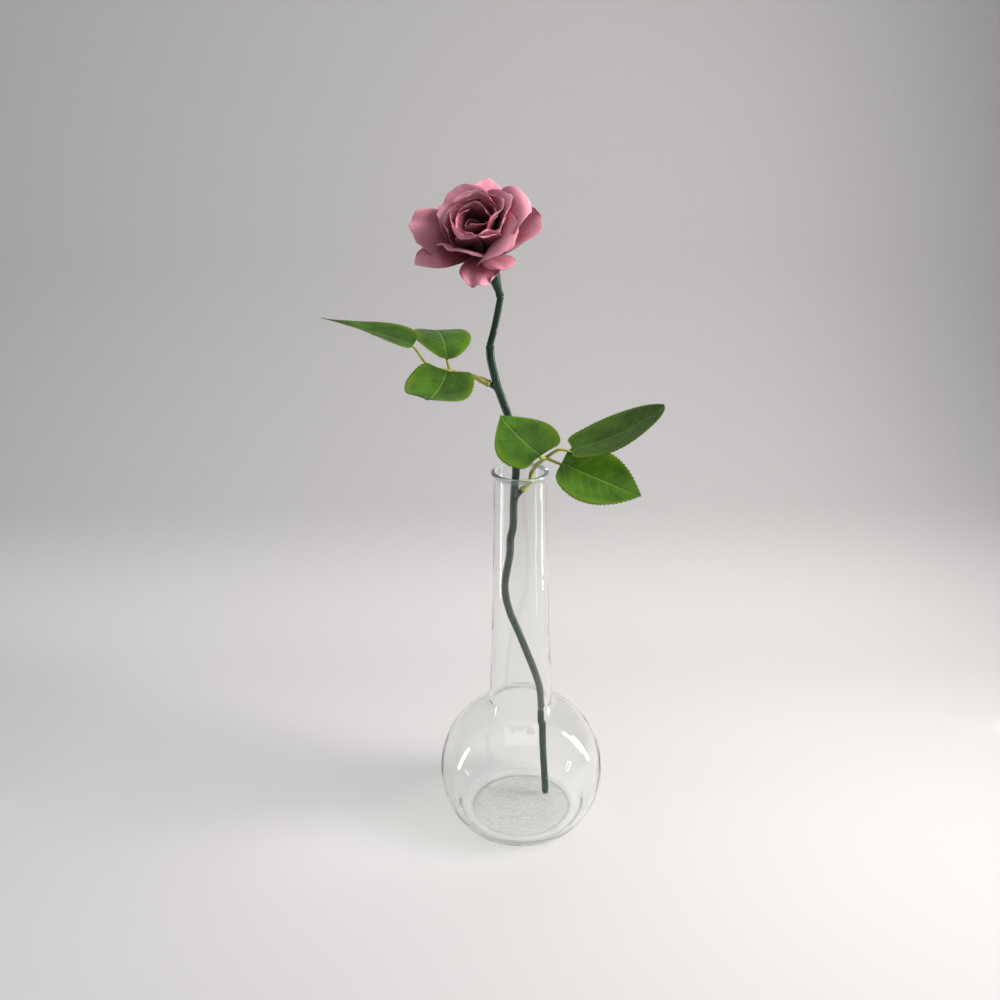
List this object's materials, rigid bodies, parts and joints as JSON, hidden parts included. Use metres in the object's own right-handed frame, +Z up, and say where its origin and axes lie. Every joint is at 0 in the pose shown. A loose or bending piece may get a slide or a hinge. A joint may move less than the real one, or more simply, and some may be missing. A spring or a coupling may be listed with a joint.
{
  "type": "rose in a bud vase",
  "caption": "Artificial rose with toothed leaf sprays standing in a clear glass bud vase with a round body and a long neck.",
  "frame": {"origin": "centre of the vase's flat foot, on the surface it stands on", "axes": "+Z up along the vase's axis; -Y towards the side that the bloom leans to; +X to the right as seen from -Y"},
  "size_m": [0.1694, 0.1055, 0.3704],
  "materials": {
    "vase_glass": "clear blown glass with a few seeds",
    "stem_plastic": "moulded dark green, satin gloss",
    "calyx_plastic": "moulded green, dull",
    "stalk_plastic": "moulded yellow green, satin",
    "leaf_fabric": "printed woven cloth, stiffened",
    "petal_fabric": "dyed fine cloth, dusty rose with darker folds"
  },
  "bodies": {
    "root": {"vase": "vase_glass", "stem": "stem_plastic", "calyx": "calyx_plastic", "bloom": "petal_fabric", "upper_stalk": "stalk_plastic", "lower_stalk": "stalk_plastic", "upper_leaflet_end": "leaf_fabric", "upper_leaflet_back": "leaf_fabric", "upper_leaflet_front": "leaf_fabric", "lower_leaflet_left": "leaf_fabric", "lower_leaflet_end": "leaf_fabric", "lower_leaflet_right": "leaf_fabric"}
  },
  "joints": []
}
